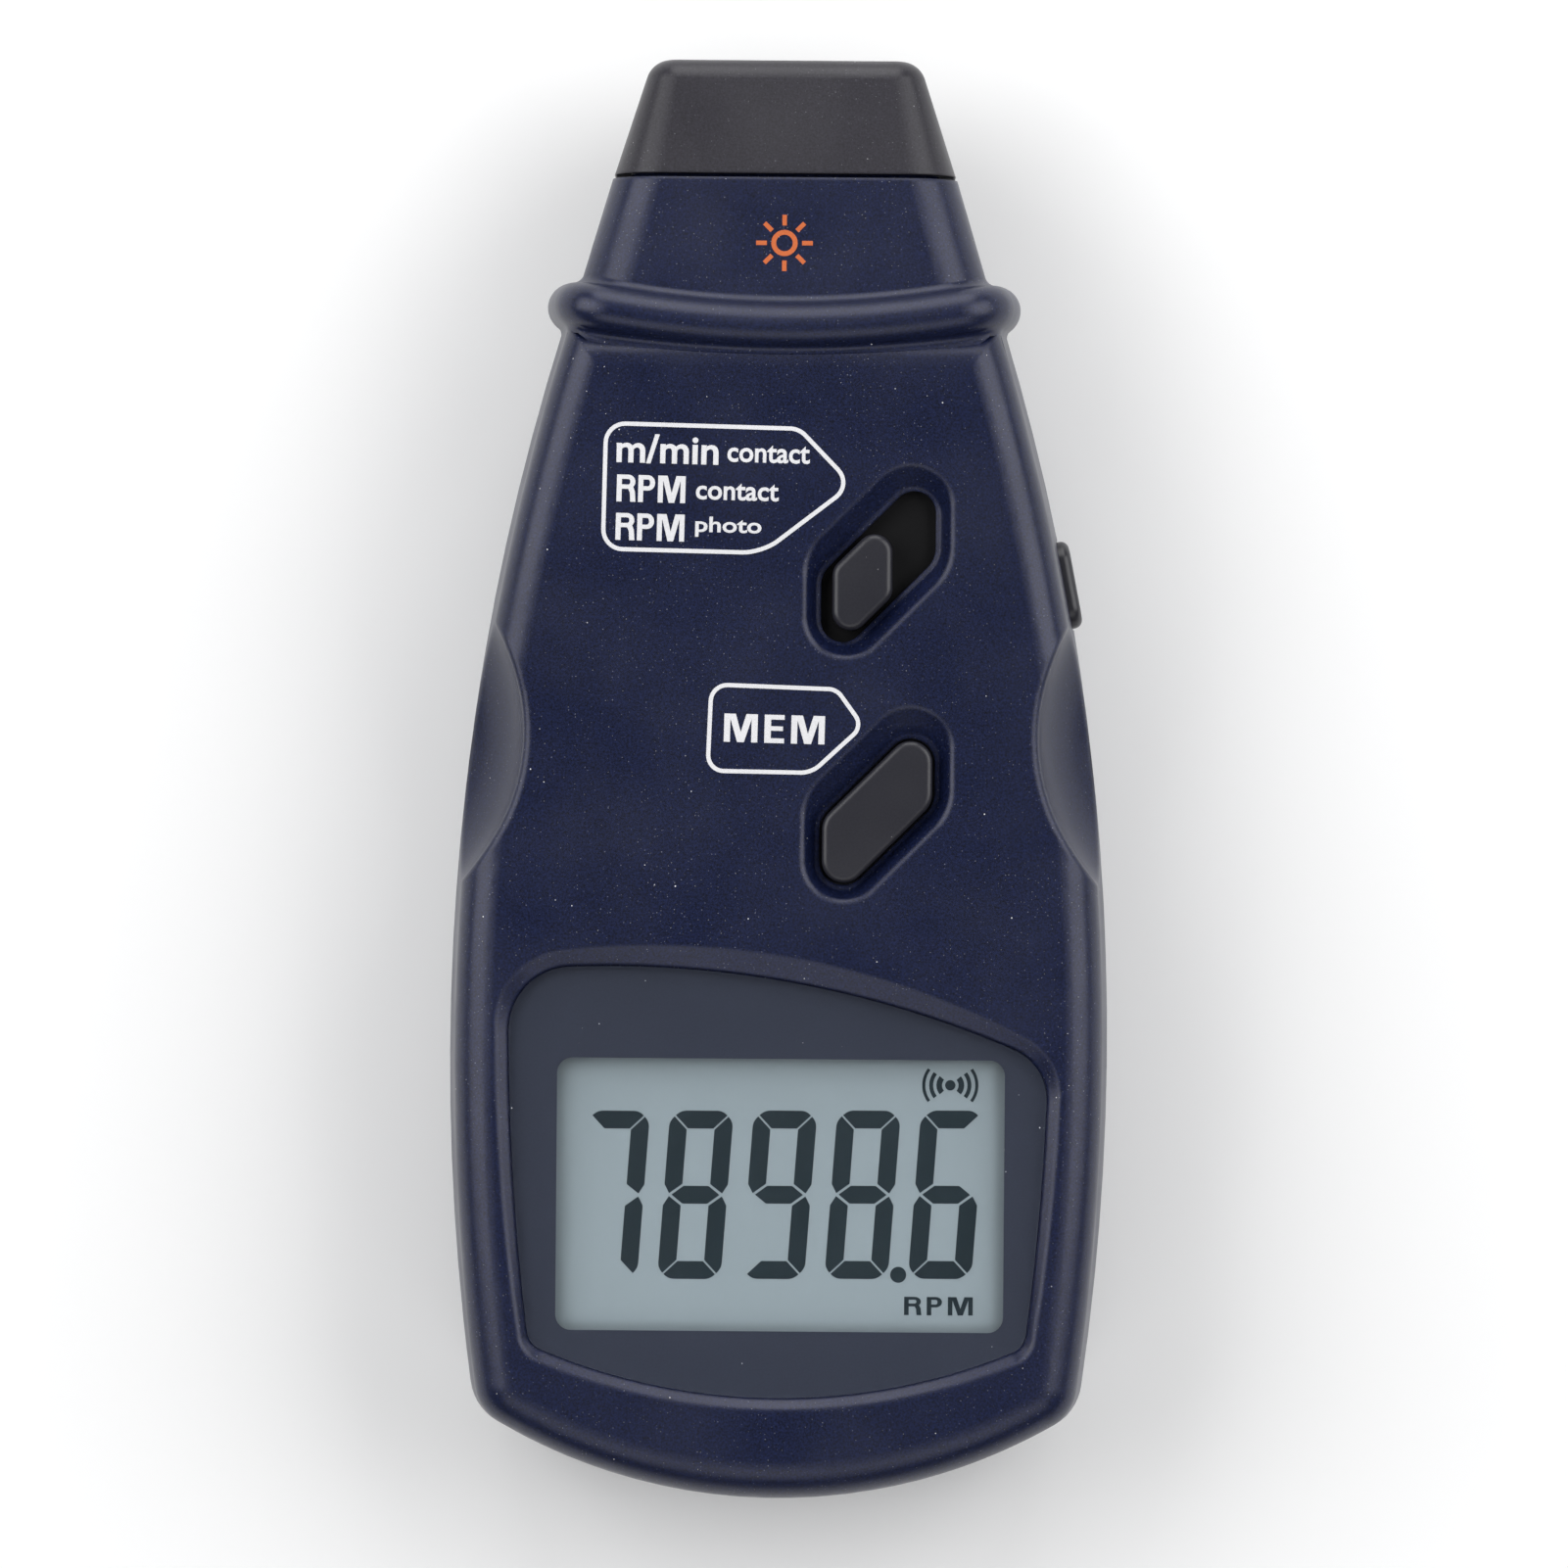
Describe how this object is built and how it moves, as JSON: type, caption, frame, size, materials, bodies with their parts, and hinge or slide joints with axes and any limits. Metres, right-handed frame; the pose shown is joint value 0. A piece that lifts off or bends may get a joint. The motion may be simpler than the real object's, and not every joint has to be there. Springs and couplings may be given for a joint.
{
  "type": "digital tachometer",
  "caption": "Handheld digital tachometer with a tapered sensing head, side grips, slide switch, memory key, side key, display and a sliding cell cover.",
  "frame": {"origin": "under the middle of the case, on the plane that its back rests on", "axes": "+X to the user's right, +Y towards the sensing head, +Z out of the display"},
  "size_m": [0.0734, 0.16, 0.0369],
  "materials": {
    "navy_shell": "matte moulded grain",
    "black_hood": "matte moulded grain",
    "black_key": "satin",
    "inner_plastic": "plain moulded",
    "window": "clear polished with a printed border",
    "lcd": "grey liquid crystal panel",
    "lens": "clear polished",
    "adhesive": "soft",
    "strip": "soft banded",
    "board": "solder mask",
    "chip": "moulded epoxy",
    "metal": "nickel plated",
    "brass": "turned",
    "cell": "printed sleeve",
    "screw": "zinc plated",
    "wire_black": "insulated lead",
    "wire_red": "insulated lead",
    "wire_white": "insulated lead"
  },
  "bodies": {
    "housing": {"aa_cell_1": "cell", "aa_cell_2": "cell", "aa_cell_3": "cell", "aa_cell_4": "cell", "battery_lead_black": "wire_black", "battery_lead_red": "wire_red", "battery_spring_1": "metal", "battery_spring_2": "metal", "battery_spring_3": "metal", "battery_spring_4": "metal", "board_screws": "screw", "case_screws": "screw", "chip_resistors": "chip", "contact_lower_left": "metal", "contact_lower_middle": "metal", "contact_lower_right": "metal", "contact_strip_lower": "strip", "contact_strip_upper": "strip", "contact_upper_left": "metal", "contact_upper_right": "metal", "crystal": "metal", "display_screws": "screw", "display_window": "window", "front_shell": "navy_shell", "laser_leads": "wire_red", "laser_lens": "lens", "laser_module": "brass", "lcd_frame": "inner_plastic", "lcd_panel": "lcd", "main_board": "board", "measure_tact_switch": "chip", "mem_tact_switch": "chip", "microcontroller": "chip", "optics_block": "inner_plastic", "photodiode": "chip", "rear_shell": "navy_shell", "receiver_leads": "wire_white", "receiver_lens": "lens", "slide_switch_case": "metal", "storage_capacitor": "chip", "voltage_regulator": "chip", "window_adhesive": "adhesive"},
    "function_switch": {"function_knob": "black_key", "switch_shutter": "black_key", "slide_switch_slider": "black_key"},
    "mem_button": {"mem_key": "black_key", "mem_plunger": "black_key"},
    "measure_button": {"measure_key": "black_key", "measure_plunger": "black_key"},
    "battery_cover": {"battery_cover": "navy_shell"},
    "head_hood": {"head_hood": "black_hood", "optical_window": "lens"}
  },
  "joints": [
    {"name": "function_slide", "type": "slide", "parent": "housing", "child": "function_switch", "axis": [0.7071, 0.7071, 0], "range_m": [0, 0.005]},
    {"name": "mem_press", "type": "slide", "parent": "housing", "child": "mem_button", "axis": [0, 0, -1], "range_m": [0, 0.0005], "stiffness_N_per_m": 1500, "springref_m": -0.0006},
    {"name": "measure_press", "type": "slide", "parent": "housing", "child": "measure_button", "axis": [-0.9818, -0.1901, 0], "range_m": [0, 0.0008], "stiffness_N_per_m": 1500, "springref_m": -0.0006},
    {"name": "cover_slide", "type": "slide", "parent": "housing", "child": "battery_cover", "axis": [0, -1, 0], "range_m": [0, 0.07]},
    {"name": "hood_pull", "type": "slide", "parent": "housing", "child": "head_hood", "axis": [0, 1, 0], "range_m": [0, 0.03]}
  ]
}
